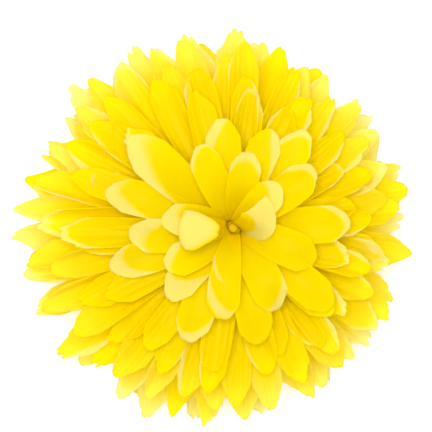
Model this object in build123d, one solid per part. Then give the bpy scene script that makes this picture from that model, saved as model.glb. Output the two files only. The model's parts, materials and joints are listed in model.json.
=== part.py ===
from build123d import *
import os
from math import atan2, cos, hypot, pi, radians, sin, tan

# A flower hair clip: a many-petalled fabric chrysanthemum on a plastic peg, glued through a felt
# disc to the fixed jaw of a sprung steel alligator clip.
# The flower looks up, along +Z. The origin is on the table under the flower's axis.
# The clip lies along X, with its nose at -X and its finger lever at +X. Millimetres throughout.

# ---------------------------------------------------------------- driving dimensions
FABRIC = 0.5            # petal sheet, stiffened and pressed
SLIT = 0.07             # share of the pitch that stays open between neighbouring petals
ROUND_END = 0.45        # length of a petal's round end, in petal widths
FOLDS = 4               # straight stretches that make up a petal's curve

FIRST_HUB_Z = 21.0      # underside of the lowest petal sheet's hub
HUB_PITCH = 1.6         # hub to hub
FIRST_HUB_R = 9.2
HUB_R_STEP = 0.7        # each hub is this much smaller than the one below it
DISC_SHARE = 0.85       # the flat disc's share of the hub's radius
PETAL_FROM = 0.7        # where a petal starts in the disc, as a share of the hub's radius

# One row for each die-cut petal sheet, lowest first:
# petals, tip radius, tip height, root angle above the horizon, petal width, turn about +Z.
# The lowest sheet droops until its tips stand on the table.
WHORLS = [
    (16, 52.5, FABRIC / 2, 18.0, 12.0, 11.25),
    (16, 55.0, 13.5, 22.0, 12.0, 0.0),
    (16, 54.0, 21.0, 30.0, 12.0, 14.0),
    (16, 51.5, 27.5, 38.0, 12.0, 5.0),
    (14, 48.0, 33.0, 45.0, 12.0, 13.0),
    (14, 44.0, 38.0, 51.0, 11.5, 2.0),
    (12, 39.0, 42.5, 56.0, 11.0, 8.0),
    (9, 33.0, 46.0, 60.0, 11.0, 20.0),
    (7, 26.0, 48.5, 64.0, 10.5, 5.0),
    (5, 18.0, 50.0, 68.0, 10.0, 30.0),
]

PEG_R = 1.0
PEG_HOLE_R = 1.1        # hole in each petal sheet
SPACER_R = 2.1
SPACER_BORE_R = 1.05
PEG_HEAD_R = 1.4
PEG_HEAD_H = 1.0
PEG_HEAD_ROUND = 0.8    # radius of the head's rounded edge
PEG_LET_IN = 0.3        # the head's own root in the shaft

FELT_R = 22.0
FELT_T = 1.5
GLUE_T = 0.4            # film between the clip and the felt
GLUE_FILM = (34.0, 7.0) # along X and Y
GLUE_FILM_X = -4.0      # its middle
FLOWER_GLUE_T = 0.6
FLOWER_GLUE_R = 9.0

CALYX_BASE_R = 6.0
CALYX_RIM_R = 14.0
CALYX_WALL = 1.0
CALYX_BOSS_R = 3.4
CALYX_RIM_DROP = 0.9    # the rim stays this far below the lowest petal sheet
LOCK_RING_R = 2.8
LOCK_RING_T = 0.8
LOCK_RING_BORE_R = 1.02
LOCK_RING_PLAY = 0.1    # round the ring in its recess

STEEL = 0.8             # clip plate
CLIP_TOP_Z = 12.5       # glued face of the fixed jaw
CLIP_NOSE_X = -30.0
CLIP_TAIL_X = 26.0
UPPER_W = 9.0
UPPER_NOSE_W = 6.0
LOWER_W = 7.0
LOWER_NOSE_W = 5.5
LOWER_SHORT = 0.4       # the moving jaw's nose stays this far behind the fixed one's
TAPER = 12.0            # length over which a jaw narrows to its nose
PIVOT_X = 7.0
PIVOT_Z = 9.2
PIN_R = 0.75
PIN_HEAD_R = 1.4
PIN_HEAD_T = 0.5
FIXED_HOLE_R = 0.78     # the pin is peened here
RUNNING_HOLE_R = 0.80   # the moving jaw turns here
UPPER_EAR_R = 2.3
LOWER_EAR_R = 1.8
EAR_FOOT = 0.6          # an ear's foot is this much wider on each side than its round end
LOWER_FLOOR_Z = 6.5     # top of the moving jaw's plate under the pivot
LEVER_SLOPE = 16.0      # degrees below the horizon
CURL = 2.0              # length of the lever's upturned end
CURL_RISE = 0.7
BOW = 7.0               # length over which the plate drops from its teeth to its floor
BENDS = [8, 4, 6, 1.2]  # bend radii of the plate's top, from nose to lever
NOSE_Z = 10.6           # top of the moving jaw's plate at its nose
TOOTHED_Z = 9.6         # and at the end of its toothed length
TOOTHED_TO_X = -14.0
TEETH = 6
TEETH_FROM_NOSE = 3.5
TOOTH_H = 1.1
TOOTH_LEAN = 0.35       # where a tooth's tip lies in its pitch
FLANGE_W = 5.5          # over both toothed flanges
FLANGE_ROOT = 0.3       # how far a flange reaches into the plate
JAW_GAP = 0.06          # tooth tips stay this far off the fixed jaw

WIRE_R = 0.35
COIL_R = 1.65
COIL_HALF = 1.5         # half of the coil's length along the pin
COIL_WRAPS = 3          # whole turns, besides the half turn between the two legs
LEG = 12.0              # straight length of each leg
UPPER_LEG_RISE = 2.2    # degrees, to bear on the fixed jaw
LOWER_LEG_DROP = 18.4   # degrees, to bear on the lever

ALONG_CLIP = Plane.XZ   # local x is X, local y is Z, and the normal is -Y
TALL = 80.0             # higher than anything in the flower


def export(node, shape):
    """Writes one sub-part."""
    export_step(shape, f"parts/{node}.step")


def slab(face, y_low, y_high):
    """The XZ face made solid between two places along Y."""
    return Pos(0, y_high, 0) * extrude(face, amount=y_high - y_low)


def disc(radius, low, high, bore=0.0):
    """A flat round solid about +Z, with a bore if one is given."""
    body = Pos(0, 0, (low + high) / 2) * Cylinder(radius, high - low)
    if bore:
        body -= Pos(0, 0, (low + high) / 2) * Cylinder(bore, high - low)
    return body


# ---------------------------------------------------------------- petal sheets
def hub_z(level):
    return FIRST_HUB_Z + HUB_PITCH * level


def hub_r(level):
    return FIRST_HUB_R - HUB_R_STEP * level


class PetalCurve:
    """The arc that one sheet's petals follow in side view, from the hub's edge to the tip."""

    def __init__(self, level, tip_r, tip_z, root_angle):
        start_r = hub_r(level)
        start_z = hub_z(level) + FABRIC / 2
        chord = hypot(tip_r - start_r, tip_z - start_z)
        turned = radians(root_angle) - atan2(tip_z - start_z, tip_r - start_r)
        self.root = radians(root_angle)
        self.tip = self.root - 2 * turned
        self.radius = chord / (2 * sin(turned))
        self.length = self.radius * 2 * turned
        self.centre_r = start_r + self.radius * sin(self.root)
        self.centre_z = start_z - self.radius * cos(self.root)

    def at(self, share, proud=0.0):
        """(r, z) at a share of the length, standing proud of the middle of the fabric."""
        angle = self.root + (self.tip - self.root) * share
        radius = self.radius + proud
        return self.centre_r - radius * sin(angle), self.centre_z + radius * cos(angle)


def petal_outline(curve, petals, width):
    """One petal seen from above, pointing along +X: a wedge, parallel sides and a round end."""
    slope = tan(pi / petals * (1 - SLIT))
    root_r = curve.at(0)[0] * PETAL_FROM
    tip_r = curve.at(1)[0]
    end_r = curve.at(1 - ROUND_END * width / curve.length)[0]
    half = min(width / 2, end_r * slope)
    wide_r = half / slope
    side = [(root_r, root_r * slope), (wide_r, half)]
    if end_r - wide_r > FABRIC:
        side.append((end_r, half))
    lower = [(r, -y) for r, y in reversed(side)]
    tip = ThreePointArc(side[-1], (tip_r, 0), lower[0])
    return make_face([*Polyline(*lower, *side).edges(), tip])


def petal_sheet(level, petals, tip_r, tip_z, root_angle, width, turn):
    """One die-cut sheet: a flat hub with a hole, and petals pressed into a cup."""
    curve = PetalCurve(level, tip_r, tip_z, root_angle)
    shares = [k / FOLDS for k in range(FOLDS + 1)]
    low = hub_z(level)
    top = [curve.at(share, FABRIC / 2) for share in shares]
    under = [curve.at(share, -FABRIC / 2) for share in reversed(shares)]
    hub_edge_top = (top[0][0], low + FABRIC)
    hub_edge_under = (under[-1][0], low)
    profile = [(0, low), (0, low + FABRIC), hub_edge_top, *top[1:], *under[:-1], hub_edge_under]
    cup = revolve(ALONG_CLIP * make_face(Polyline(*profile, close=True)), Axis.Z)
    petal = cup & extrude(petal_outline(curve, petals, width), amount=TALL)
    sheet = disc(curve.at(0)[0] * DISC_SHARE, low, low + FABRIC)
    sheet += [Rot(0, 0, turn + 360 / petals * k) * petal for k in range(petals)]
    return sheet - disc(PEG_HOLE_R, low - FABRIC, low + 2 * FABRIC)


def petal_sheets():
    for level, whorl in enumerate(WHORLS):
        export(f"petal_layer_{level + 1:02d}", petal_sheet(level, *whorl))


# ---------------------------------------------------------------- what holds the flower together
def spacers():
    """Plastic rings that keep the hubs apart."""
    for level in range(len(WHORLS) - 1):
        low = hub_z(level) + FABRIC
        export(f"spacer_ring_{level + 1:02d}", disc(SPACER_R, low, hub_z(level + 1), SPACER_BORE_R))


FELT_Z = CLIP_TOP_Z + GLUE_T
FELT_TOP_Z = FELT_Z + FELT_T
CALYX_Z = FELT_TOP_Z + FLOWER_GLUE_T


def peg():
    """The peg with its domed head, which holds the sheets down."""
    seat = hub_z(len(WHORLS) - 1) + FABRIC
    shaft = disc(PEG_R, CALYX_Z + LOCK_RING_PLAY, seat + PEG_LET_IN)
    head = disc(PEG_HEAD_R, seat, seat + PEG_HEAD_H)
    head = fillet(head.edges().group_by(Axis.Z)[-1], PEG_HEAD_ROUND)
    export("stem_peg", shaft + head)


def calyx():
    """The plastic cup under the flower, with a boss for the peg and a recess for its lock ring."""
    rim_z = FIRST_HUB_Z - CALYX_RIM_DROP
    floor_z = CALYX_Z + 2 * CALYX_WALL
    wall = Polyline(
        (0, CALYX_Z),
        (CALYX_BASE_R, CALYX_Z),
        (CALYX_RIM_R, rim_z - CALYX_WALL),
        (CALYX_RIM_R, rim_z),
        (CALYX_RIM_R - CALYX_WALL, rim_z),
        (CALYX_BASE_R - CALYX_WALL, floor_z),
        (CALYX_BOSS_R, floor_z),
        (CALYX_BOSS_R, FIRST_HUB_Z),
        (0, FIRST_HUB_Z),
        close=True,
    )
    ring_z = CALYX_Z + 2 * LOCK_RING_PLAY
    cup = revolve(ALONG_CLIP * make_face(wall), Axis.Z)
    cup -= disc(PEG_HOLE_R, CALYX_Z, FIRST_HUB_Z)
    cup -= disc(LOCK_RING_R + LOCK_RING_PLAY, CALYX_Z, ring_z + LOCK_RING_T)
    export("calyx_cup", cup)
    export("peg_lock_ring", disc(LOCK_RING_R, ring_z, ring_z + LOCK_RING_T, LOCK_RING_BORE_R))


def backing():
    """Felt disc with its two glue films."""
    export("felt_disc", disc(FELT_R, FELT_Z, FELT_TOP_Z))
    export("flower_glue", disc(FLOWER_GLUE_R, FELT_TOP_Z, CALYX_Z))
    film = Box(*GLUE_FILM, GLUE_T)
    export("clip_glue", Pos(GLUE_FILM_X, 0, CLIP_TOP_Z + GLUE_T / 2) * film)


# ---------------------------------------------------------------- alligator clip
UPPER_Z = CLIP_TOP_Z - STEEL


def strip_outline(nose_x, tail_x, width, nose_width):
    """A jaw's plan: parallel behind, tapering to a rounded nose, with a rounded tail."""
    half, nose = width / 2, nose_width / 2
    taper_x = nose_x + TAPER
    return make_face(
        [
            Line((taper_x, half), (tail_x - half, half)),
            ThreePointArc((tail_x - half, half), (tail_x, 0), (tail_x - half, -half)),
            Line((tail_x - half, -half), (taper_x, -half)),
            Line((taper_x, -half), (nose_x + nose, -nose)),
            ThreePointArc((nose_x + nose, -nose), (nose_x, 0), (nose_x + nose, nose)),
            Line((nose_x + nose, nose), (taper_x, half)),
        ]
    )


def ear(radius, plate_z, hole_r):
    """A hinge ear in side view: a foot in the plate, a neck, a round end about the pivot, a hole."""
    foot = Pos(PIVOT_X, plate_z) * Rectangle(2 * (radius + EAR_FOOT), STEEL)
    neck = Pos(PIVOT_X, (plate_z + PIVOT_Z) / 2) * Rectangle(2 * radius, abs(plate_z - PIVOT_Z))
    outline = foot + neck + Pos(PIVOT_X, PIVOT_Z) * Circle(radius)
    return ALONG_CLIP * (outline - Pos(PIVOT_X, PIVOT_Z) * Circle(hole_r))


def both_sides(face, width):
    """A plate-thick wall in the face's shape at each side of a strip of this width."""
    outer, inner = width / 2, width / 2 - STEEL
    return slab(face, inner, outer) + slab(face, -outer, -inner)


def fixed_jaw():
    """The flat plate glued to the felt, with two ears bent down to carry the pin."""
    plan = strip_outline(CLIP_NOSE_X, CLIP_TAIL_X, UPPER_W, UPPER_NOSE_W)
    plate = Pos(0, 0, UPPER_Z) * extrude(plan, amount=STEEL)
    side = ear(UPPER_EAR_R, UPPER_Z + STEEL / 2, FIXED_HOLE_R)
    export("clip_fixed_jaw", plate + both_sides(side, UPPER_W))


def jaw_band():
    """The moving jaw's plate in side view: toothed nose, bowed middle, straight lever, curled end."""
    curl_x = CLIP_TAIL_X + LOWER_SHORT - CURL
    curl_z = LOWER_FLOOR_Z - (curl_x - PIVOT_X) * tan(radians(LEVER_SLOPE))
    corners = [
        (CLIP_NOSE_X + LOWER_SHORT, NOSE_Z),
        (TOOTHED_TO_X, TOOTHED_Z),
        (TOOTHED_TO_X + BOW, LOWER_FLOOR_Z),
        (PIVOT_X, LOWER_FLOOR_Z),
        (curl_x, curl_z),
        (curl_x + CURL, curl_z + CURL_RISE),
    ]
    top = FilletPolyline(*corners, radius=BENDS)
    under = top.offset_2d(STEEL, side=Side.RIGHT, closed=False)
    ends = [Line(top @ 0, under @ 0), Line(top @ 1, under @ 1)]
    return make_face([*top.edges(), *under.edges(), *ends])


def toothed_flange():
    """One side wall of the moving jaw's nose, with saw teeth along its top edge."""
    first = CLIP_NOSE_X + TEETH_FROM_NOSE
    pitch = (TOOTHED_TO_X - first) / TEETH
    tip_z = UPPER_Z - JAW_GAP
    climb = (NOSE_Z - TOOTHED_Z) * pitch * TEETH / (TOOTHED_TO_X - CLIP_NOSE_X - LOWER_SHORT)
    points = [(first, TOOTHED_Z + climb - FLANGE_ROOT), (first, tip_z - TOOTH_H)]
    for k in range(TEETH):
        points.append((first + pitch * (k + TOOTH_LEAN), tip_z))
        points.append((first + pitch * (k + 1), tip_z - TOOTH_H))
    points.append((TOOTHED_TO_X, TOOTHED_Z - FLANGE_ROOT))
    return ALONG_CLIP * make_face(Polyline(*points, close=True))


def moving_jaw():
    """The jaw that opens: a bent plate with a lever, hinge ears and teeth."""
    nose_x, tail_x = CLIP_NOSE_X + LOWER_SHORT, CLIP_TAIL_X + LOWER_SHORT
    plan = strip_outline(nose_x, tail_x, LOWER_W, LOWER_NOSE_W)
    bent = slab(ALONG_CLIP * jaw_band(), -LOWER_W / 2, LOWER_W / 2)
    plate = bent & extrude(plan, amount=CLIP_TOP_Z)
    side = ear(LOWER_EAR_R, LOWER_FLOOR_Z - STEEL / 2, RUNNING_HOLE_R)
    jaw = plate + both_sides(side, LOWER_W) + both_sides(toothed_flange(), FLANGE_W)
    export("clip_moving_jaw", jaw)


def pivot_pin():
    """The hinge pin, peened over at both ends."""
    outer = UPPER_W / 2
    shaft = ALONG_CLIP * Pos(PIVOT_X, PIVOT_Z) * Circle(PIN_R)
    head = ALONG_CLIP * Pos(PIVOT_X, PIVOT_Z) * Circle(PIN_HEAD_R)
    pin = slab(shaft, -outer, outer)
    pin += slab(head, outer, outer + PIN_HEAD_T)
    pin += slab(head, -outer - PIN_HEAD_T, -outer)
    export("clip_pivot_pin", pin)


def spring():
    """The torsion spring: a coil round the pin, with one leg against each jaw's tail."""
    turns = COIL_WRAPS + (180 - LOWER_LEG_DROP - UPPER_LEG_RISE) / 360
    helix = Helix(2 * COIL_HALF / turns, 2 * COIL_HALF, COIL_R)
    first_end = Rot(0, 0, 90 + UPPER_LEG_RISE)
    coil = Pos(PIVOT_X, COIL_HALF, PIVOT_Z) * Rot(90, 0, 0) * first_end * helix
    upper_leg = Line(coil @ 0 - LEG * (coil % 0), coil @ 0)
    lower_leg = Line(coil @ 1, coil @ 1 + LEG * (coil % 1))
    path = Wire([upper_leg, *coil.edges(), lower_leg])
    section = Plane(upper_leg @ 0, z_dir=upper_leg % 0) * Circle(WIRE_R)
    export("clip_spring", sweep(section, path=path, transition=Transition.RIGHT))


os.makedirs("parts", exist_ok=True)
petal_sheets()
spacers()
peg()
calyx()
backing()
fixed_jaw()
moving_jaw()
pivot_pin()
spring()
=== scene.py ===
import json
from math import cos, pi, radians, sin

import bmesh
import bpy
import numpy as np
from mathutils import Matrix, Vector


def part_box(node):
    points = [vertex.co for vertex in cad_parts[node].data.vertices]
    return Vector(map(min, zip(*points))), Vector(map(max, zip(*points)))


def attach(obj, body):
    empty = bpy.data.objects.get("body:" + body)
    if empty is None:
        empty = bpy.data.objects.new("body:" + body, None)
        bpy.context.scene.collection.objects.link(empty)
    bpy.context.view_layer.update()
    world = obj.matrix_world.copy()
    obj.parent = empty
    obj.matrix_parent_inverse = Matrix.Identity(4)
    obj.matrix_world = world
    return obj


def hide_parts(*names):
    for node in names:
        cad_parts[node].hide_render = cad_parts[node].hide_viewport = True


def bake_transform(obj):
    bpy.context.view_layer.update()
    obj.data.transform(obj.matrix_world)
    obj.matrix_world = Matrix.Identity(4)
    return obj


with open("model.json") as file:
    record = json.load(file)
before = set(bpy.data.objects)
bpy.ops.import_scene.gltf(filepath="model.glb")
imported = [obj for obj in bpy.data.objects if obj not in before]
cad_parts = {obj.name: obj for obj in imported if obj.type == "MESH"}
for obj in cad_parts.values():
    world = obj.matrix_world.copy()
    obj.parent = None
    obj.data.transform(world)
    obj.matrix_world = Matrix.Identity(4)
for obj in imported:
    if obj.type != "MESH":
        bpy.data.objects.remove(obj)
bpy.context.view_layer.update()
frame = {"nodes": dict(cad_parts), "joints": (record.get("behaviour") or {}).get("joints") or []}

# A fabric chrysanthemum on a sprung hair clip. Lengths are metres and angles are radians, except
# where a comment says mm or degrees.
MM = 0.001
rng = np.random.default_rng(41)

# ---------------------------------------------------------------- sizes
CLOTH = 0.22 * MM           # petal fabric
HUB_HOLE = 1.1 * MM         # radius of the hole for the peg
HUB_RADIUS = 9.2 * MM       # of the lowest sheet
HUB_STEP = 0.7 * MM         # near the bottom, each hub is this much smaller than the one below
TOP_HUB_RADIUS = 2.2 * MM   # of the top sheet
TOP_HUB_STEP = 0.8 * MM     # further up, each hub is this much smaller than the one below
LOWEST = 0.5 * MM           # petal tips that reach the table lie along it
ACROSS = 28                 # faces across a petal
ALONG = 38                  # faces along it
FLOWER = "flower"
RINGS = [f"spacer_ring_{k:02d}" for k in range(1, 10)]


def hub_height(level):
    """The middle of a sheet's hub: each spacer ring stands on the hub below it."""
    if level < len(RINGS):
        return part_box(RINGS[level])[0].z - CLOTH
    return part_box(RINGS[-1])[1].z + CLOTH


def hub_radius(level):
    """Where a sheet's petals leave its hub. The top sheets are gathered in around the peg."""
    below_top = len(RINGS) - level
    return min(HUB_RADIUS - HUB_STEP * level, TOP_HUB_RADIUS + TOP_HUB_STEP * below_top)


# ---------------------------------------------------------------- node material helpers
def new_material(name):
    material = bpy.data.materials.new(name)
    material.use_nodes = True
    tree = material.node_tree
    tree.nodes.clear()
    return material, tree


def node(tree, kind, inputs=None, **settings):
    """A shader node with its settings, and its inputs as values or as sockets to link."""
    made = tree.nodes.new(kind)
    for key, value in settings.items():
        setattr(made, key, value)
    for key, value in (inputs or {}).items():
        if isinstance(value, bpy.types.NodeSocket):
            tree.links.new(value, made.inputs[key])
        else:
            made.inputs[key].default_value = value
    return made


def ramp(tree, fac, stops):
    """A colour ramp. Each stop is (place, colour)."""
    made = node(tree, "ShaderNodeValToRGB", {"Fac": fac})
    band = made.color_ramp
    while len(band.elements) < len(stops):
        band.elements.new(0.5)
    for element, (place, colour) in zip(band.elements, stops):
        element.position = place
        element.color = (*colour, 1.0)
    return made.outputs["Color"]


def mix_colour(tree, fac, a, b, how="MIX"):
    made = node(tree, "ShaderNodeMix", data_type="RGBA", blend_type=how)
    for key, value in ((0, fac), (6, a), (7, b)):
        if isinstance(value, bpy.types.NodeSocket):
            tree.links.new(value, made.inputs[key])
        else:
            made.inputs[key].default_value = value if key == 0 else (*value, 1.0)
    return made.outputs[2]


def maths(tree, how, a, b=0.0, c=0.0):
    made = node(tree, "ShaderNodeMath", operation=how)
    for key, value in enumerate((a, b, c)):
        if isinstance(value, bpy.types.NodeSocket):
            tree.links.new(value, made.inputs[key])
        else:
            made.inputs[key].default_value = value
    return made.outputs[0]


def finish_material(tree, shader):
    node(tree, "ShaderNodeOutputMaterial", {"Surface": shader})


# ---------------------------------------------------------------- materials
YELLOW = (0.98, 0.875, 0.0)
# painted shade: the deeper orange of the flower's shaded gaps, laid on each petal's root and on the
# hub
PAINTED_SHADE_YELLOW = (0.99, 0.78, 0.0)
# painted highlight: the paler yellow of tips and crescents that face the light
PAINTED_HIGHLIGHT_YELLOW = (0.98, 0.92, 0.31)
# painted backlight: outer tips paled as if the white floor shone through them
PAINTED_BACKLIGHT_YELLOW = (0.98, 0.94, 0.50)
THROUGH_YELLOW = (1.0, 0.87, 0.0)
BRIGHT_YELLOW = (0.99, 0.89, 0.0)
THREAD_SCALE = 1300.0       # sets how fine the weave is
THROUGH = 0.6               # share of the cloth's light that comes through it, not off its face


def petal_fabric():
    """Pressed satin-faced polyester: a fine weave, dye that varies a little, painted shade at the
    roots, painted highlights, and painted backlight that makes the outer tips pale.
    """
    material, tree = new_material("petal_fabric")
    cloth = node(tree, "ShaderNodeUVMap", uv_map="cloth").outputs["UV"]
    # painted backlight: how far an outer tip is paled, as if lit through from behind
    painted_backlight = node(tree, "ShaderNodeAttribute", attribute_name="painted_backlight").outputs["Fac"]
    # painted shade: the root value is 1 at the hub and fades out halfway along each petal
    root = node(tree, "ShaderNodeAttribute", attribute_name="root").outputs["Fac"]
    blotch = node(tree, "ShaderNodeTexNoise", {"Vector": cloth, "Scale": 160.0, "Detail": 4.0})
    dyed = mix_colour(tree, blotch.outputs["Fac"], YELLOW, BRIGHT_YELLOW)
    root_shaded = mix_colour(tree, root, dyed, PAINTED_SHADE_YELLOW)
    # painted highlight: pale where the petal's highlight field is above 0, with blotchy soft edges
    painted_highlight = node(tree, "ShaderNodeAttribute", attribute_name="painted_highlight").outputs["Fac"]
    wavy = maths(tree, "MULTIPLY_ADD", blotch.outputs["Fac"], 1.6, -0.8)
    inside = maths(tree, "ADD", painted_highlight, wavy)
    highlight_share = node(
        tree,
        "ShaderNodeMapRange",
        {"Value": inside, "From Min": -1.0, "From Max": 1.0},
        interpolation_type="SMOOTHSTEP",
    ).outputs[0]
    highlighted = mix_colour(tree, maths(tree, "MULTIPLY", highlight_share, 0.9), root_shaded, PAINTED_HIGHLIGHT_YELLOW)
    colour = mix_colour(tree, painted_backlight, highlighted, PAINTED_BACKLIGHT_YELLOW)
    threads = {"Vector": cloth, "Scale": THREAD_SCALE}
    warp = node(tree, "ShaderNodeTexWave", threads, bands_direction="X")
    weft = node(tree, "ShaderNodeTexWave", threads, bands_direction="Y")
    weave = maths(tree, "MULTIPLY", warp.outputs["Fac"], weft.outputs["Fac"])
    bump = node(tree, "ShaderNodeBump", {"Height": weave, "Strength": 0.25, "Distance": 0.04 * MM})
    rough = maths(tree, "MULTIPLY_ADD", blotch.outputs["Fac"], 0.12, 0.30)
    face = node(
        tree,
        "ShaderNodeBsdfPrincipled",
        {
            "Base Color": colour,
            "Roughness": rough,
            "Specular IOR Level": 0.04,
            "Normal": bump.outputs["Normal"],
        },
    )
    # the light that comes through the cloth carries the painted highlight and the painted backlight
    # too
    through_colour = mix_colour(tree, highlight_share, THROUGH_YELLOW, PAINTED_HIGHLIGHT_YELLOW)
    through_colour = mix_colour(tree, painted_backlight, through_colour, PAINTED_BACKLIGHT_YELLOW)
    through = node(
        tree,
        "ShaderNodeBsdfTranslucent",
        {"Color": through_colour, "Normal": bump.outputs["Normal"]},
    )
    shares = {0: THROUGH, 1: face.outputs[0], 2: through.outputs[0]}
    both = node(tree, "ShaderNodeMixShader", shares)
    finish_material(tree, both.outputs[0])
    return material


# ---------------------------------------------------------------- petals
def smooth(x, low=0.0, high=1.0):
    t = np.clip((x - low) / (high - low), 0, 1)
    return t * t * (3 - 2 * t)


FINE = np.linspace(0, 1, 161)           # steps along a petal's middle line
SHARES = (0.0, 0.3, 0.6, 0.85, 1.0)     # where along it the slopes are given
PAST_TIP = 1.3                          # a painted highlight that ends here runs to the tip
FULL_WIDTH_AT = 0.72                    # share of its length where a petal is at its widest
TIP_NARROWS = 0.12                      # and the share of its width that it loses by its tip
RIPPLE = 0.3 * MM                       # of the cloth, lengthwise
ROOT_HALF = 0.47                        # half a root's angle, as a share of that to the next root
RIM_STEP = radians(8)                   # how finely a hub's rim is cut between two petals
CLOTH_STEP = 13 * MM                    # how far apart neighbouring petals lie in the cloth's pattern
PAINTED_HIGHLIGHT_LIMIT = 4.0                       # the field of a petal's painted highlights stays within this of 0


def rounded(values, width):
    """Values along FINE, with their corners rounded over a window of this many steps."""
    window = np.hanning(width + 2)[1:-1]
    window = window / window.sum()
    padded = np.pad(values, ((width // 2, width // 2), (0, 0)), mode="edge")
    columns = [np.convolve(column, window, mode="valid") for column in padded.T]
    return np.stack(columns, axis=1)


def spine_from_slopes(azimuth, start, length, slopes, sway):
    """A petal's middle line: it leaves start at its azimuth and follows slopes in degrees."""
    slope = np.radians(np.interp(FINE, SHARES, slopes))
    slope = rounded(slope[:, None], 21)[:, 0]
    step = length / (len(FINE) - 1)
    middle = (slope[1:] + slope[:-1]) / 2
    out = np.concatenate([[0], np.cumsum(np.cos(middle))]) * step
    up = np.concatenate([[0], np.cumsum(np.sin(middle))]) * step
    heading = np.array([cos(azimuth), sin(azimuth), 0])
    left = np.array([-sin(azimuth), cos(azimuth), 0])
    aside = sway * FINE**2
    line = start + out[:, None] * heading + aside[:, None] * left
    line[:, 2] += up
    return line


NECK_UP = 3.6 * MM          # a placed petal stands up this far before it spreads
NECK_OUT = -0.5 * MM        # below 0, so it leans in towards the peg as it does


def spine_through(start, neck, points):
    """A petal's middle line through a few points, each (x, y, rise above the hub) in mm."""
    corners = [np.array(start), np.array(neck)]
    corners += [np.array([x, y, 0]) * MM + (0, 0, start[2] + z * MM) for x, y, z in points]
    corners = np.array(corners)
    before = 2 * corners[0] - corners[1]
    after = 2 * corners[-1] - corners[-2]
    held = np.vstack([before, corners, after])
    line = []
    for a, b, c, d in zip(held, held[1:], held[2:], held[3:]):
        for t in np.linspace(0, 1, 30, endpoint=False):
            bend = 2 * b + (c - a) * t + (2 * a - 5 * b + 4 * c - d) * t**2
            line.append((bend + (3 * b - a - 3 * c + d) * t**3) / 2)
    line = np.array([*line, corners[-1]])
    gone = np.concatenate([[0], np.cumsum(np.linalg.norm(np.diff(line, axis=0), axis=1))])
    even = [np.interp(FINE * gone[-1], gone, line[:, k]) for k in range(3)]
    return rounded(np.stack(even, axis=1), 15)


class Petal:
    """One petal. Its angles are given in degrees and its lengths in mm."""

    def __init__(self, root, width, length=0, slopes=None, points=None, **look):
        self.root = radians(root)
        self.azimuth = radians(look.get("azimuth", root))
        self.width = width * MM
        self.length = length * MM
        self.slopes = slopes
        self.points = points
        self.sway = look.get("sway", 0) * MM
        self.twist = radians(look.get("twist", 0))
        self.trough = look.get("trough", (50, 30))  # degrees, at the waist and at the tip
        self.side = look.get("side", 0) * MM        # how far one edge curls up
        self.pleat = look.get("pleat", 0.1) * MM
        self.pleats = look.get("pleats", 3)
        self.tip = look.get("tip", 0.16)            # share of the length that the end rounds off
        self.point = look.get("point", 2.2)         # low is pointed, high is blunt
        self.lean = look.get("lean", 0)             # the end's highest point, off its middle
        self.ragged = look.get("ragged", 0.004)
        # how far painted backlight pales the tip
        self.painted_backlight = look.get("painted_backlight", 0.0)
        self.painted_highlights = look.get("painted_highlights", [])      # painted highlights: from, to, skew, softness
        self.phase = rng.uniform(0, 2 * pi, 6)

    def spine(self, level):
        r0, z0 = hub_radius(level), hub_height(level)
        start = np.array([r0 * cos(self.root), r0 * sin(self.root), z0])
        if self.points:
            neck = start * (1 + NECK_OUT / r0) + (0, 0, NECK_UP - z0 * NECK_OUT / r0)
            line = spine_through(start, neck, self.points)
            self.length = np.linalg.norm(np.diff(line, axis=0), axis=1).sum()
            return line
        return spine_from_slopes(self.azimuth, start, self.length, self.slopes, self.sway)


def along(line, s):
    return np.stack([np.interp(s, FINE, line[:, k]) for k in range(3)], axis=-1)


def unit(vectors):
    return vectors / np.linalg.norm(vectors, axis=-1, keepdims=True)


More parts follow.
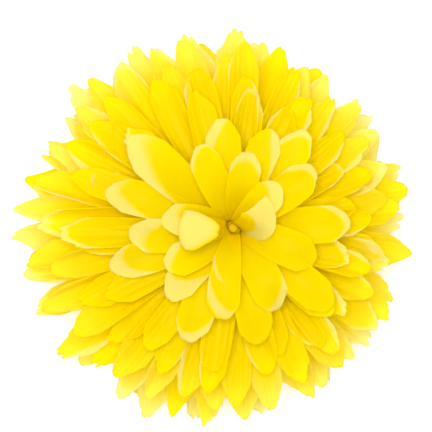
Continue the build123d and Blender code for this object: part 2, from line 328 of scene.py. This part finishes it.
def petal_grid(petal, level, root_half):
    """Points of one petal as an (ALONG+1, ACROSS+1, 3) grid, with its cloth coordinates."""
    r0, z0 = hub_radius(level), hub_height(level)
    line = petal.spine(level)
    u = np.linspace(-1, 1, ACROSS + 1)[None, :]
    v = np.linspace(0, 1, ALONG + 1)[:, None] ** 0.9
    a, b, c, d, e, f = petal.phase
    off = np.abs(u - petal.lean) / (1 + abs(petal.lean) * np.sign(-petal.lean * u))
    rag = petal.ragged * (np.sin(8 * u + a) + 0.7 * np.sin(15 * u + b) + 0.5 * np.sin(27 * u + c))
    s = v * (1 - petal.tip * off**petal.point + rag * v**6)
    s = np.clip(s, 0, 1)

    root_share = min(2 * r0 * root_half / petal.width, 0.9)
    shape = root_share + (1 - root_share) * np.sin(pi / 2 * np.clip(s / FULL_WIDTH_AT, 0, 1))
    shape = shape * (1 - TIP_NARROWS * smooth(s, 0.8, 1.0))
    half = petal.width / 2 * shape
    waist, tip = np.radians(petal.trough)
    bend = waist * smooth(s, 0.02, 0.3) + (tip - waist) * smooth(s, 0.45, 0.85) + 1e-4
    across = half / bend * np.sin(bend * u)
    lift = half / bend * (1 - np.cos(bend * u))
    pleated = petal.pleat * smooth(s, 0.1, 0.7)
    lift = lift + pleated * np.cos(petal.pleats * pi * u + d)
    lift = lift + 0.5 * pleated * np.cos(2.1 * petal.pleats * pi * u + e)
    toward = np.sign(petal.side) * u
    lift = lift + abs(petal.side) * smooth(toward, 0.2, 1.0) * smooth(s, 0.3, 0.75)
    lift = lift + RIPPLE * smooth(s, 0.3, 0.6) * np.sin(7 * s + 2 * u + f)

    heading = unit(np.gradient(line, axis=0))
    left = np.array([-sin(petal.azimuth), cos(petal.azimuth), 0])
    side = unit(left - (heading @ left)[:, None] * heading)
    face = np.cross(heading, side)
    roll = (petal.twist * smooth(s, 0.1, 1.0))[..., None]
    side_s, face_s = along(side, s), along(face, s)
    turned_side = side_s * np.cos(roll) + face_s * np.sin(roll)
    turned_face = face_s * np.cos(roll) - side_s * np.sin(roll)
    points = along(line, s) + across[..., None] * turned_side + lift[..., None] * turned_face

    angle = petal.root + u * root_half
    rim = np.stack([r0 * np.cos(angle), r0 * np.sin(angle), np.full_like(angle, z0)], axis=-1)
    out = np.array([cos(petal.root), sin(petal.root), 0.0])
    flat_out = rim + (s * petal.length)[..., None] * out
    settle = smooth(s, 0.0, 0.12)[..., None]
    points = flat_out * (1 - settle) + points * settle
    points[..., 2] = np.maximum(points[..., 2], LOWEST)
    cloth = np.stack([half * u, s * petal.length], axis=-1)
    # painted backlight towards the tip, painted shade towards the root, and the field of the painted
    # highlights
    values = {
        "painted_backlight": petal.painted_backlight * smooth(v + 0 * u, 0.72, 1.0),
        "root": 1 - smooth(s, 0.0, 0.5),
        "painted_highlight": painted_highlight_field(petal, v, u),
    }
    return points, cloth, values


def painted_highlight_field(petal, v, u):
    """Above 0 in a petal's painted highlights and below 0 outside, in steps of their edges' softness.
    """
    field = np.full((ALONG + 1, ACROSS + 1), -PAINTED_HIGHLIGHT_LIMIT)
    for start, end, skew, soft in petal.painted_highlights:
        inside = np.minimum(v - start + skew * u, end - v - 0.3 * skew * u)
        field = np.maximum(field, np.clip(inside / soft, -PAINTED_HIGHLIGHT_LIMIT, PAINTED_HIGHLIGHT_LIMIT))
    return field


def sheet_mesh(name, level, petals):
    """One die-cut sheet: a hub with a hole and petals that grow out of its rim, in one surface."""
    count = len(petals)
    petals = sorted(petals, key=lambda p: p.root % (2 * pi))
    r0, z0 = hub_radius(level), hub_height(level)
    space = [(petals[(k + 1) % count].root - petals[k].root) % (2 * pi) for k in range(count)]
    halves = [ROOT_HALF * min(space[k - 1], space[k]) for k in range(count)]
    verts, faces, cloth, loop = [], [], [], []
    values = {"painted_backlight": [], "root": [], "painted_highlight": []}

    def hub_point(x, y):
        verts.append((x, y, z0))
        cloth.append((x, y))
        # the hub gets full painted shade and no painted highlight or backlight
        for key, mark in (("painted_backlight", 0.0), ("root", 1.0), ("painted_highlight", -PAINTED_HIGHLIGHT_LIMIT)):
            values[key].append(mark)
        return len(verts) - 1

    for k, petal in enumerate(petals):
        points, uv, marks = petal_grid(petal, level, halves[k])
        first = len(verts)
        verts.extend(points.reshape(-1, 3))
        cloth.extend(uv.reshape(-1, 2) + k * CLOTH_STEP)
        for key, mark in marks.items():
            values[key].extend(mark.reshape(-1))
        wide = ACROSS + 1
        for j in range(ALONG):
            for i in range(ACROSS):
                q = first + j * wide + i
                faces.append((q, q + 1, q + 1 + wide, q + wide))
        loop.extend(range(first, first + wide))
        gap = space[k] - halves[k] - halves[(k + 1) % count]
        steps = 1 + int(gap / RIM_STEP)
        for step in range(1, steps):
            angle = petal.root + halves[k] + gap * step / steps
            loop.append(hub_point(r0 * cos(angle), r0 * sin(angle)))
    inner = []
    for index in loop:
        x, y, _ = verts[index]
        far = (x * x + y * y) ** 0.5
        inner.append(hub_point(x / far * HUB_HOLE, y / far * HUB_HOLE))
    for k in range(len(loop)):
        n = (k + 1) % len(loop)
        faces.append((inner[k], inner[n], loop[n], loop[k]))
    return build_mesh(name, verts, faces, cloth, values)


def build_mesh(name, verts, faces, cloth=None, values=None):
    mesh = bpy.data.meshes.new(name)
    mesh.from_pydata([tuple(p) for p in verts], [], faces)
    mesh.polygons.foreach_set("use_smooth", [True] * len(mesh.polygons))
    if cloth is not None:
        layer = mesh.uv_layers.new(name="cloth")
        corner = np.zeros(len(mesh.loops), np.int32)
        mesh.loops.foreach_get("vertex_index", corner)
        layer.data.foreach_set("uv", np.array(cloth, np.float32)[corner].reshape(-1))
    for key, value in (values or {}).items():
        attribute = mesh.attributes.new(key, "FLOAT", "POINT")
        attribute.data.foreach_set("value", np.array(value, np.float32))
    mesh.validate()
    mesh.update()
    made = bpy.data.objects.new(name, mesh)
    bpy.context.scene.collection.objects.link(made)
    return made


# one row for each sheet whose petals follow its pressed cup, lowest first:
# petals, length in mm, root and tip slope in degrees, width in mm, turn in degrees, painted backlight
# on the tips
EVEN_SHEETS = [
    (16, 51.0, 18, -70, 11.5, 11.25, 1.0),
    (18, 49.5, 22, -46, 10.4, 0.0, 1.0),
    (18, 49.0, 30, -40, 9.6, 14.0, 0.7),
    (18, 47.5, 38, -36, 9.4, 5.0, 0.3),
    (18, 45.5, 42, -32, 9.2, 13.0, 0.1),
    (18, 42.0, 45, -28, 9.0, 2.0, 0.0),
    (14, 37.0, 44, -20, 9.4, 8.0, 0.0),
]
REACH = 0.98                # mean length of a petal, as a share of its row's
OFF_CENTRE = 0.12           # a petal is longer or shorter by up to this share, by its direction
SPREADS_TO = radians(181)   # the direction of the longest


def even_sheet(count, length, root, tip, width, turn, painted_backlight):
    petals = []
    for k in range(count):
        azimuth = turn + 360 / count * k
        stretch = REACH + OFF_CENTRE * cos(radians(azimuth) - SPREADS_TO)
        stretch += rng.uniform(-0.04, 0.04)
        lean = rng.uniform(-4, 4)
        slopes = [root + lean + (tip - root) * share for share in SHARES]
        slopes[-2] += rng.uniform(0, 12)
        slopes[-1] += rng.uniform(35, 95)
        # a quarter of the petals get a painted highlight across the tip, about a third one along a
        # side
        look = rng.uniform()
        painted_highlights = []
        if look < 0.25:
            start = rng.uniform(0.94, 0.985)
            painted_highlights = [(start, PAST_TIP, rng.uniform(-0.1, 0.1), rng.uniform(0.01, 0.03))]
        elif look < 0.6:
            skew = rng.choice([-1, 1]) * rng.uniform(0.3, 0.5)
            painted_highlights = [(rng.uniform(1.14, 1.26), 1.4, skew, rng.uniform(0.02, 0.05))]
        bottom = painted_backlight > 0.4
        petals.append(
            Petal(
                azimuth,
                width * rng.uniform(0.9, 1.06),
                length=length * stretch,
                slopes=slopes,
                azimuth=azimuth + rng.uniform(-3.5, 3.5),
                twist=rng.uniform(-22, 22),
                sway=rng.uniform(-2.5, 2.5),
                trough=(rng.uniform(54, 84) - 0.5 * root, rng.uniform(20, 60)),
                side=rng.choice([-1, 1]) * rng.uniform(0.3, 2.6 if root < 40 else 1.2),
                pleat=rng.uniform(0.05, 0.16),
                pleats=rng.choice([3, 4, 5, 6]),
                tip=rng.uniform(0.15, 0.24) if bottom else rng.uniform(0.13, 0.2),
                point=rng.uniform(1.5, 2.2) if bottom else rng.uniform(1.6, 2.4),
                lean=rng.uniform(-0.35, 0.35),
                ragged=rng.choice([0.002, 0.004, 0.012]),
                painted_backlight=painted_backlight * rng.uniform(0.0, 1.0),
                painted_highlights=painted_highlights,
            )
        )
    return petals


# The three innermost sheets have petals placed one by one. Each row is the root's azimuth in
# degrees, the width and the points (x, y, rise above the hub) in mm, and what else sets the petal
# apart, with its painted highlights.
EIGHTH_SHEET = [
    (140, 12.0, [(-12, 10, 10), (-21, 18, 14.5), (-28.5, 24.8, 14)],
     dict(trough=(34, 14), tip=0.2, painted_highlights=[(0.84, PAST_TIP, 0.22, 0.09)])),
    (163, 9.9, [(-13, 4, 9), (-24, 7.5, 13), (-35, 10, 12)],
     dict(trough=(34, 20), twist=10, painted_highlights=[(0.88, PAST_TIP, 0.12, 0.05)])),
    (187, 9.9, [(-11, -1, 9), (-20, -2, 13.5), (-28.5, -1, 15)],
     dict(trough=(34, 20), twist=-14, painted_highlights=[(0.84, PAST_TIP, -0.1, 0.04)])),
    (204, 9.5, [(-12, -4.5, 8), (-23, -8, 11.5), (-34, -10.5, 11)],
     dict(trough=(34, 30), twist=8, painted_highlights=[(0.88, PAST_TIP, 0.08, 0.03)])),
    (250, 10.3, [(-5, -11, 9), (-9, -21, 12.5), (-13, -31, 11)],
     dict(trough=(34, 30), twist=8, painted_highlights=[(0.93, PAST_TIP, 0.06, 0.02)])),
    (284, 10.3, [(3, -12, 9), (5, -22, 12.5), (7, -32, 10)],
     dict(trough=(34, 30), twist=-8)),
    (322, 10.3, [(10, -8, 9), (19, -15, 12.5), (27, -22, 10)],
     dict(trough=(34, 28), twist=-8)),
    (358, 10.8, [(12, 0, 9), (22, 1, 12.5), (32, 1.5, 11)],
     dict(trough=(34, 30), twist=6, painted_highlights=[(0.94, PAST_TIP, 0.05, 0.02)])),
    (48, 9.9, [(8, 8.5, 9), (14, 17, 13), (20, 26.5, 13.5)],
     dict(trough=(34, 34), twist=-8, painted_highlights=[(0.94, PAST_TIP, 0.05, 0.02)])),
    (72, 9.5, [(3.5, 10, 10), (7, 19, 14), (10.5, 27, 14.5)],
     dict(trough=(36, 30), twist=14, painted_highlights=[(0.98, PAST_TIP, -0.3, 0.04)])),
    (97, 9.9, [(-1.5, 11, 10), (-2.5, 21, 14), (-3, 30, 14)],
     dict(trough=(34, 24), twist=-8, painted_highlights=[(0.93, PAST_TIP, 0.22, 0.03)])),
]
NINTH_SHEET = [
    (112, 9.4, [(-4, 10, 10.5), (-7, 17, 14), (-8.8, 22.8, 15)],
     dict(trough=(36, 36), twist=-6, painted_highlights=[(0.955, PAST_TIP, 0.05, 0.02)])),
    (76, 9.0, [(1.8, 9, 10.5), (3, 15, 14), (4.4, 20.8, 14.5)],
     dict(trough=(36, 34), twist=6, painted_highlights=[(0.9, PAST_TIP, 0.0, 0.03)])),
    (35, 10.3, [(8, 5.5, 9.5), (15, 10.5, 13), (22, 16.5, 13)],
     dict(trough=(36, 34), twist=8, painted_highlights=[(0.94, PAST_TIP, 0.06, 0.02)])),
    (345, 10.8, [(8, -2.5, 9.5), (15, -5.5, 12.5), (22.5, -9, 11)],
     dict(trough=(36, 28), twist=-6)),
    (300, 10.3, [(4.5, -7, 9.5), (8.5, -14.5, 12.5), (11.5, -22.5, 11)],
     dict(trough=(34, 28), twist=-10, painted_highlights=[(0.94, PAST_TIP, 0.1, 0.03)])),
    (232, 9.4, [(-7, -7.5, 8.5), (-13, -13.5, 12), (-17.5, -19.5, 13)],
     dict(trough=(34, 24), twist=12, painted_highlights=[(0.78, PAST_TIP, 0.12, 0.03)])),
    (172, 8.9, [(-8, 2, 9.5), (-14, 2.2, 13.5), (-19.5, 2, 14)],
     dict(trough=(46, 24), twist=8, painted_highlights=[(0.8, PAST_TIP, 0.1, 0.05)])),
]
TENTH_SHEET = [
    (266, 9.6, [(-1.6, -9, 10), (-2.6, -17, 12.5), (-3, -25, 11.5)],
     dict(trough=(50, 38), painted_highlights=[(0.66, 0.66, -0.14, 0.02), (0.88, 0.97, -0.14, 0.03)])),
    (214, 9.8, [(-7.5, -5.2, 8.5), (-13, -8, 11.5), (-18.8, -10.2, 12)],
     dict(trough=(46, 32), twist=6, painted_highlights=[(0.92, PAST_TIP, -0.14, 0.04)])),
    (178, 11.0, [(-9, -0.5, 10), (-14.4, -0.5, 14.5), (-13, -0.4, 18), (-3.6, -1.6, 17)],
     dict(azimuth=184, trough=(40, 24), tip=0.2, lean=-0.3, painted_highlights=[(0.6, 0.95, 0.05, 0.05)])),
    (50, 9.6, [(6, 5.2, 10), (9.5, 8.6, 13), (12.6, 12, 14)],
     dict(trough=(46, 28), twist=-10, painted_highlights=[(0.82, PAST_TIP, -0.2, 0.04)])),
    (8, 10.5, [(3.8, 0.2, 7), (6.4, 1.2, 11), (7.6, 4.6, 13), (7.5, 9, 14)],
     dict(azimuth=50, trough=(26, 18), tip=0.34, point=1.3, lean=-0.25,
          painted_highlights=[(0.58, PAST_TIP, -0.5, 0.06)])),
]


def placed_sheet(rows):
    return [
        Petal(root, width, points=points, pleat=0.03, side=rng.uniform(-0.6, 0.6), **look)
        for root, width, points, look in rows
    ]


def petal_sheets(material):
    sheets = [even_sheet(*row) for row in EVEN_SHEETS]
    sheets += [placed_sheet(rows) for rows in (EIGHTH_SHEET, NINTH_SHEET, TENTH_SHEET)]
    for level, petals in enumerate(sheets):
        piece = sheet_mesh(f"petals_{level + 1:02d}", level, petals)
        skin = piece.modifiers.new("cloth", "SOLIDIFY")
        skin.thickness = CLOTH
        skin.offset = 0.0
        piece.data.materials.append(material)
        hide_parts(f"petal_layer_{level + 1:02d}")
        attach(piece, FLOWER)


# ---------------------------------------------------------------- the other materials
def object_place(tree, stretch=(1, 1, 1), turn=0.0):
    place = node(tree, "ShaderNodeTexCoord").outputs["Object"]
    values = {"Vector": place, "Rotation": (0, 0, turn), "Scale": stretch}
    return node(tree, "ShaderNodeMapping", values).outputs[0]


def noise(tree, place, scale, detail=3.0):
    made = node(tree, "ShaderNodeTexNoise", {"Vector": place, "Scale": scale, "Detail": detail})
    return made.outputs["Fac"]


def bumped(tree, height, strength, distance):
    values = {"Height": height, "Strength": strength, "Distance": distance}
    return node(tree, "ShaderNodeBump", values).outputs["Normal"]


def plated_steel(name, tone):
    """Nickel-plated steel: drawn lengthwise, a little cloudy, with fine handling scratches."""
    material, tree = new_material(name)
    drawn = noise(tree, object_place(tree, (0.04, 1, 1)), 5200.0, 4.0)
    cloud = noise(tree, object_place(tree), 260.0)
    scratches = noise(tree, object_place(tree, (1, 0.08, 0.6)), 2600.0, 2.0)
    colour = mix_colour(tree, cloud, tone, tuple(0.86 * c for c in tone))
    rough = maths(tree, "MULTIPLY_ADD", drawn, 0.16, 0.14)
    rough = maths(tree, "MULTIPLY_ADD", cloud, 0.10, rough)
    height = maths(tree, "MULTIPLY_ADD", scratches, 0.5, drawn)
    shader = node(
        tree,
        "ShaderNodeBsdfPrincipled",
        {
            "Base Color": colour,
            "Roughness": rough,
            "Metallic": 1.0,
            "Normal": bumped(tree, height, 0.12, 0.02 * MM),
        },
    )
    finish_material(tree, shader.outputs[0])
    return material


def moulded_plastic(name, colour, other, roughness, through=0.0, gloss=0.3):
    """Injection-moulded plastic: faint flow marks and a fine eggshell surface."""
    material, tree = new_material(name)
    flow = noise(tree, object_place(tree, (1, 1, 0.35)), 420.0)
    grain = noise(tree, object_place(tree), 6500.0, 1.0)
    tone = mix_colour(tree, flow, colour, other)
    rough = maths(tree, "MULTIPLY_ADD", flow, 0.14, roughness)
    normal = bumped(tree, grain, 0.18, 0.02 * MM)
    values = {"Base Color": tone, "Roughness": rough, "Normal": normal, "Specular IOR Level": gloss}
    shader = node(tree, "ShaderNodeBsdfPrincipled", values).outputs[0]
    if through:
        glow = node(tree, "ShaderNodeBsdfTranslucent", {"Color": tone, "Normal": normal}).outputs[0]
        shader = node(tree, "ShaderNodeMixShader", {0: through, 1: shader, 2: glow}).outputs[0]
    finish_material(tree, shader)
    return material


def felt_material():
    """Needled wool-look felt: matted fibres that cross each other, with painted shade between them.
    """
    material, tree = new_material("felt")
    one = noise(tree, object_place(tree, (1, 0.3, 1), 0.5), 3600.0, 5.0)
    two = noise(tree, object_place(tree, (0.3, 1, 1), 0.2), 3900.0, 5.0)
    clumps = noise(tree, object_place(tree), 520.0, 5.0)
    fibres = maths(tree, "MAXIMUM", one, two)
    bands = [(0.3, (0.62, 0.36, 0.01)), (0.55, (0.86, 0.56, 0.02)), (0.8, (0.98, 0.74, 0.12))]
    # painted shade: the colour follows the fibres' height, darker where they lie low, with random
    # clumps
    fibre_shade_and_clumps = maths(tree, "MULTIPLY_ADD", clumps, 0.35, maths(tree, "MULTIPLY", fibres, 0.75))
    colour = ramp(tree, fibre_shade_and_clumps, bands)
    height = maths(tree, "MULTIPLY_ADD", clumps, 0.8, fibres)
    values = {
        "Base Color": colour,
        "Roughness": 0.95,
        "Specular IOR Level": 0.1,
        "Sheen Weight": 0.35,
        "Sheen Roughness": 0.5,
        "Normal": bumped(tree, height, 0.8, 0.12 * MM),
    }
    shader = node(tree, "ShaderNodeBsdfPrincipled", values)
    finish_material(tree, shader.outputs[0])
    return material


# ---------------------------------------------------------------- backing, cup and glue
def sealed(made):
    """Merges the points that meet at the middle and turns every face outward."""
    shell = bmesh.new()
    shell.from_mesh(made.data)
    bmesh.ops.remove_doubles(shell, verts=shell.verts, dist=1e-6)
    bmesh.ops.recalc_face_normals(shell, faces=shell.faces)
    shell.to_mesh(made.data)
    shell.free()
    return made


def turned(name, profile, segments, shape):
    """A solid turned about Z from a closed (radius, height) profile, shaped per point and turn."""
    verts, faces = [], []
    count = len(profile)
    for k in range(segments):
        angle = 2 * pi * k / segments
        for index, (radius, height) in enumerate(profile):
            radius, height = shape(index, radius, height, angle)
            verts.append((radius * cos(angle), radius * sin(angle), height))
    for k in range(segments):
        for i in range(count):
            a, b = k * count + i, k * count + (i + 1) % count
            c, d = ((k + 1) % segments) * count + (i + 1) % count, ((k + 1) % segments) * count + i
            faces.append((a, d, c, b))
    return sealed(build_mesh(name, verts, faces))


def waves(count, low, high, size):
    """A seeded wavy function of angle: its size falls as its waves get shorter."""
    turns = rng.integers(low, high, count)
    phases = rng.uniform(0, 2 * pi, count)
    sizes = size * (low / turns) ** 0.7
    return lambda angle: float(np.sum(sizes * np.sin(turns * angle + phases)))


def put(piece, material, slot_name, *nodes):
    piece.data.materials.append(material)
    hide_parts(*nodes)
    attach(piece, FLOWER)


def felt_backing(material):
    """A hand-cut felt disc: a soft edge that isn't quite round and a slightly uneven face."""
    low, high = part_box("felt_disc")
    radius, thick = high.x, high.z - low.z
    middle = (high.z + low.z) / 2
    cut = waves(6, 3, 14, 0.10 * MM)
    fuzz = waves(14, 60, 170, 0.035 * MM)
    lumps = waves(8, 3, 24, 0.02 * MM)
    edge = [-90, -60, -30, 0, 30, 60, 90]       # degrees
    flat = np.linspace(0, radius - thick / 2, 26)
    profile = [(r, low.z) for r in flat[:-1]]
    soft = 0.5 * thick
    profile += [(flat[-1] + soft * cos(radians(a)), middle + soft * sin(radians(a))) for a in edge]
    profile += [(r, high.z) for r in flat[-2::-1]]

    def shape(index, r, z, angle):
        outward = (r / radius) ** 3
        moved = r + outward * (cut(angle) + fuzz(angle) * (1 if index % 2 else -1))
        dent = lumps(angle + 31 * r / radius) * min(1, 4 * r / radius) * (r < flat[-1])
        return moved, z + (dent if z > middle else 0)

    piece = turned("felt_backing", profile, 360, shape)
    put(piece, material, "felt", "felt_disc")


def ribbed_cup(material):
    """The moulded cup under the flower: ribs down its side and a rim of small sepals."""
    low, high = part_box("calyx_cup")
    base, top = low.z, high.z
    rim, wall = high.x, 1.0 * MM
    rim_z = top - 0.9 * MM
    ribs, sepals = 30, 10
    side = np.linspace(0, 1, 9)
    profile = [(1.1 * MM, base + 0.9 * MM), (2.9 * MM, base + 0.9 * MM), (2.9 * MM, base)]
    start = len(profile)
    profile += [(6 * MM + (rim - 6 * MM) * t, base + (rim_z - wall - base) * t**1.25) for t in side]
    stop = len(profile)
    profile += [(rim, rim_z - 0.3 * MM), (rim - 0.3 * MM, rim_z), (rim - wall, rim_z)]
    profile += [(5 * MM, base + 2 * MM), (3.4 * MM, base + 2 * MM), (3.4 * MM, top)]
    profile += [(1.1 * MM, top)]

    def shape(index, r, z, angle):
        if start < index < stop:
            grown = (index - start) / (stop - start)
            r += 0.28 * MM * grown * cos(ribs * angle)
        if index >= stop - 1 and r > 0.9 * rim:
            notch = abs(sin(sepals * angle / 2)) ** 0.6
            r -= 1.6 * MM * (1 - notch)
            z -= 0.5 * MM * (1 - notch)
        return r, z

    put(turned("calyx_ribbed", profile, 480, shape), material, "green_plastic", "calyx_cup")


def glue_under_flower(material):
    """A squeezed-out ring of hot glue, thicker where it has crept up the cup."""
    low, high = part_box("flower_glue")
    radius = high.x
    spread = waves(7, 2, 11, 0.38 * MM)
    creep = waves(5, 2, 9, 0.12 * MM)
    bead = np.radians(np.linspace(-90, 90, 9))
    half = (high.z - low.z) / 2 + 0.05 * MM
    profile = [(0, low.z - 0.05 * MM), (0.55 * radius, low.z - 0.05 * MM)]
    profile += [(radius + 1.2 * half * cos(a), low.z + half + half * sin(a)) for a in bead]
    profile += [(0.9 * radius, high.z + 0.16 * MM), (0.8 * radius, high.z + 0.42 * MM)]
    profile += [(0.72 * radius, high.z + 0.4 * MM), (0.55 * radius, high.z), (0, high.z)]

    def shape(index, r, z, angle):
        outward = smooth(r / radius, 0.6, 1.0)
        return r + outward * spread(angle), z + (outward * creep(angle) if index > 3 else 0)

    piece = turned("glue_bead_flower", profile, 240, shape)
    put(piece, material, "glue", "flower_glue")


def glue_under_clip(material):
    """The glue film between felt and clip, pressed out past the clip's long edges."""
    low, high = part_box("clip_glue")
    middle = (low + high) / 2
    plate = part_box("clip_fixed_jaw")[1].y
    half_x, half_y = (high.x - low.x) / 2, plate + 0.45 * MM
    ooze = waves(9, 3, 19, 0.22 * MM)
    sag = waves(6, 3, 15, 0.10 * MM)
    round_edge = np.radians(np.linspace(-110, 90, 9))
    bulge = (high.z - low.z) / 2 + 0.1 * MM
    profile = [(0, low.z), (0.88, low.z)]
    profile += [(0.96 + 0.04 * cos(a), middle.z - 0.06 * MM + bulge * sin(a)) for a in round_edge]
    profile += [(0.9, high.z + 0.04 * MM), (0, high.z + 0.04 * MM)]
    verts, faces = [], []
    segments, count = 260, len(profile)
    for k in range(segments):
        angle = 2 * pi * k / segments
        c, s = cos(angle), sin(angle)
        corner = (abs(c) ** 5 + abs(s) ** 5) ** -0.2
        for index, (share, z) in enumerate(profile):
            out = ooze(angle) * smooth(share, 0.6, 1.0)
            x = middle.x + share * corner * c * half_x + out * c
            y = share * corner * s * half_y + out * s
            verts.append((x, y, z + (sag(angle) if 2 <= index <= 5 else 0)))
    for k in range(segments):
        n = (k + 1) % segments
        for i in range(count - 1):
            faces.append((k * count + i, n * count + i, n * count + i + 1, k * count + i + 1))
    piece = sealed(build_mesh("glue_bead_clip", verts, faces))
    put(piece, material, "glue", "clip_glue")


# ---------------------------------------------------------------- the clip's spring
PIVOT = Vector(frame["joints"][0]["pos_m"])
WIRE = 0.35 * MM            # radius of the wire
COIL = 1.65 * MM            # radius of the coil, to the middle of the wire
COIL_HALF = 1.5 * MM        # half of the coil's length along the pin
COIL_TURNS = 3              # whole ones, besides the last part turn between the legs
LEG = 12 * MM
UPPER_RISE = radians(2.2)   # slope of the upper leg, upwards from the coil
LOWER_DROP = radians(18.4)  # slope of the lower leg, downwards from the coil


def tube(name, path, radius, around=14):
    """A round wire along a path, with slightly rounded ends."""
    path = np.array(path)
    heading = unit(np.gradient(path, axis=0))
    normal = np.cross(heading[0], (0.0, 1.0, 0.0))
    verts, faces = [], []
    shares = np.ones(len(path))
    shares[[0, -1]] = 0.72
    angles = 2 * pi * np.arange(around) / around
    for point, ahead, share in zip(path, heading, shares):
        normal = normal - ahead * (normal @ ahead)
        normal = normal / np.linalg.norm(normal)
        other = np.cross(ahead, normal)
        ring = np.cos(angles)[:, None] * normal + np.sin(angles)[:, None] * other
        verts.extend(point + radius * share * ring)
    for k in range(len(path) - 1):
        for i in range(around):
            j = (i + 1) % around
            a, b = k * around, (k + 1) * around
            faces.append((a + i, a + j, b + j, b + i))
    faces.append(tuple(range(around - 1, -1, -1)))
    last = (len(path) - 1) * around
    faces.append(tuple(range(last, last + around)))
    return build_mesh(name, verts, faces)


def torsion_spring(material):
    """A coil round the pin, with one leg against each jaw's tail."""
    turn = 2 * pi * COIL_TURNS + pi - UPPER_RISE - LOWER_DROP
    first = pi / 2 + UPPER_RISE
    share = np.linspace(0, 1, 150)
    angle = first + turn * share
    coil = np.stack(
        [
            PIVOT.x + COIL * np.cos(angle),
            COIL_HALF * (1 - 2 * share),
            PIVOT.z + COIL * np.sin(angle),
        ],
        axis=1,
    )
    before = unit(coil[0] - coil[1])
    after = unit(coil[-1] - coil[-2])
    shares = [1.0, 0.985, 0.97, 0.75, 0.5, 0.25, 0.08]      # closest at the leg's rounded end
    steps = LEG * np.array(shares)[:, None]
    path = np.vstack([coil[0] + steps * before, coil, coil[-1] + steps[::-1] * after])
    piece = tube("spring_wire", path, WIRE)
    piece.data.materials.append(material)
    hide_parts("clip_spring")
    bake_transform(piece)


def dress(node_name, material, edge=0.0):
    """A CAD node keeps its shape, has its edges eased when an edge width is given, and gets this
    material.
    """
    made = frame["nodes"][node_name]
    made.data.materials.clear()
    made.data.materials.append(material)
    if edge:
        made.modifiers.new("joined", "WELD").merge_threshold = 1e-6
        eased = made.modifiers.new("eased", "BEVEL")
        eased.width = edge
        eased.segments = 2
        eased.limit_method = "ANGLE"
        eased.angle_limit = radians(40)


def hardware():
    steel = plated_steel("plated_steel", (0.76, 0.76, 0.77))
    pin = plated_steel("pin_steel", (0.66, 0.65, 0.64))
    wire = plated_steel("spring_steel", (0.60, 0.60, 0.62))
    clear = moulded_plastic("clear_plastic", (0.90, 0.88, 0.80), (0.84, 0.81, 0.70), 0.25, 0.35)
    yellow = moulded_plastic("yellow_plastic", (0.95, 0.66, 0.0), (0.90, 0.58, 0.0), 0.7, 0.2, 0.1)
    green = moulded_plastic("green_plastic", (0.10, 0.30, 0.05), (0.07, 0.22, 0.03), 0.4)
    glue = moulded_plastic("glue", (0.88, 0.85, 0.74), (0.80, 0.76, 0.62), 0.16, 0.4)
    glue_under_clip(glue)
    glue_under_flower(glue)
    felt_backing(felt_material())
    ribbed_cup(green)
    torsion_spring(wire)
    for ring in RINGS + ["peg_lock_ring"]:
        dress(ring, clear)
    dress("stem_peg", yellow)
    dress("clip_fixed_jaw", steel, 0.1 * MM)
    dress("clip_moving_jaw", steel, 0.1 * MM)
    dress("clip_pivot_pin", pin, 0.08 * MM)


petal_sheets(petal_fabric())
hardware()


# ---------------------------------------------------------------- floor, light and camera
def white_board():
    """Matt white that glows a little, so that the floor stays white round the shadow."""
    material, tree = new_material("floor_white")
    glow = node(tree, "ShaderNodeEmission", {"Color": (1.0, 1.0, 1.0, 1.0), "Strength": 0.3})
    matt = node(tree, "ShaderNodeBsdfDiffuse", {"Color": (0.9, 0.9, 0.9, 1.0)})
    both = node(tree, "ShaderNodeAddShader", {0: glow.outputs[0], 1: matt.outputs[0]})
    finish_material(tree, both.outputs[0])
    return material


def floor():
    half = 3.0
    corners = [(-half, -half, 0), (half, -half, 0), (half, half, 0), (-half, half, 0)]
    made = build_mesh("floor", corners, [(0, 1, 2, 3)])
    made.location.z = -0.2 * MM
    made.data.materials.append(white_board())


def key_light(place, aim, size, power):
    """A large soft lamp, almost straight above the flower."""
    lamp = bpy.data.lights.new("key", "AREA")
    lamp.shape = "DISK"
    lamp.size = size
    lamp.energy = power
    made = bpy.data.objects.new("key", lamp)
    made.location = place
    made.rotation_euler = (Vector(aim) - Vector(place)).to_track_quat("-Z", "Y").to_euler()
    bpy.context.scene.collection.objects.link(made)


def world_light(overhead, horizon):
    """A white studio whose walls are brighter than its ceiling."""
    world = bpy.data.worlds.new("studio")
    world.use_nodes = True
    tree = world.node_tree
    tree.nodes.clear()
    up = node(tree, "ShaderNodeTexCoord").outputs["Generated"]
    rise = node(tree, "ShaderNodeSeparateXYZ", {"Vector": up}).outputs["Z"]
    values = {"Value": rise, "From Max": 0.5, "To Min": horizon, "To Max": overhead}
    strength = node(tree, "ShaderNodeMapRange", values, interpolation_type="SMOOTHSTEP").outputs[0]
    white = (1.0, 1.0, 1.0, 1.0)
    sky = node(tree, "ShaderNodeBackground", {"Color": white, "Strength": strength})
    node(tree, "ShaderNodeOutputWorld", {"Surface": sky.outputs[0]})
    bpy.context.scene.world = world


def camera():
    """Looks straight down, near the middle of the flower's outline."""
    aim = Vector((-0.0047, 0.0033, 0.025))
    away = 0.75
    seen = 0.1203           # width of the view at the flower's middle height
    sensor = 36.0           # mm
    data = bpy.data.cameras.new("camera")
    data.sensor_width = sensor
    data.lens = sensor * away / seen
    data.clip_start = 0.01
    made = bpy.data.objects.new("camera", data)
    made.location = aim + Vector((0, 0, away))
    bpy.context.scene.collection.objects.link(made)
    bpy.context.scene.camera = made


floor()
key_light(place=(-0.06, 0.08, 1.1), aim=(0, 0, 0.03), size=0.5, power=9.9)
world_light(overhead=0.57, horizon=0.83)
camera()
bpy.context.scene.view_settings.view_transform = "Standard"
